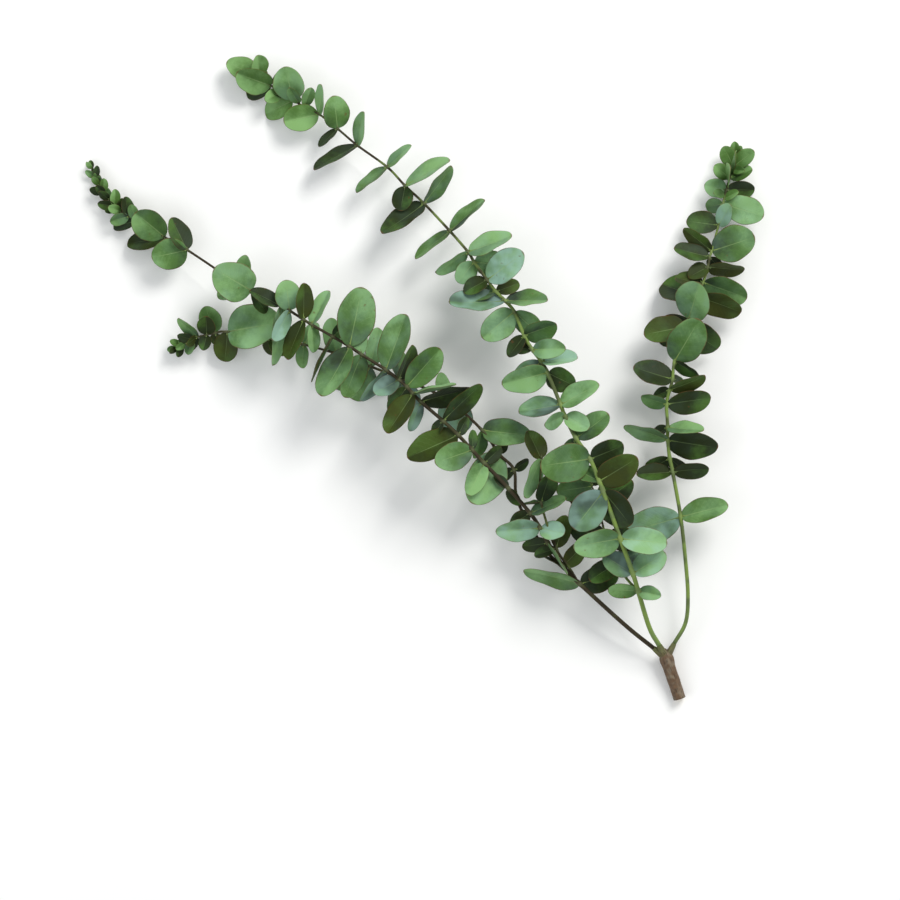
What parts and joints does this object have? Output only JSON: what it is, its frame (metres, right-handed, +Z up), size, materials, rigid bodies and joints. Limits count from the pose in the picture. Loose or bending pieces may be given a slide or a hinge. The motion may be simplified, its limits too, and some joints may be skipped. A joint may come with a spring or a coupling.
{
  "type": "eucalyptus foliage sprig",
  "caption": "Cut branching sprig of blue-green eucalyptus with round opposite leaves on thin arching stems, lying flat on a surface.",
  "frame": {"origin": "centre of the lying sprig's bounding box, on the surface that it lies on", "axes": "+Z up from the surface, +X across the three leafy shoots from the left one to the right one, +Y from the cut woody end towards the shoots' tips"},
  "size_m": [0.4785, 0.455, 0.0665],
  "materials": {
    "bark": "rough brown bark with a pale cut end",
    "leaf": "matt waxy blue-green leaf with a grey bloom, thin olive and brown stems"
  },
  "bodies": {
    "root": {"woody_base": "bark", "centre_stem": "leaf", "right_stem": "leaf", "left_spray": "leaf"}
  },
  "joints": []
}
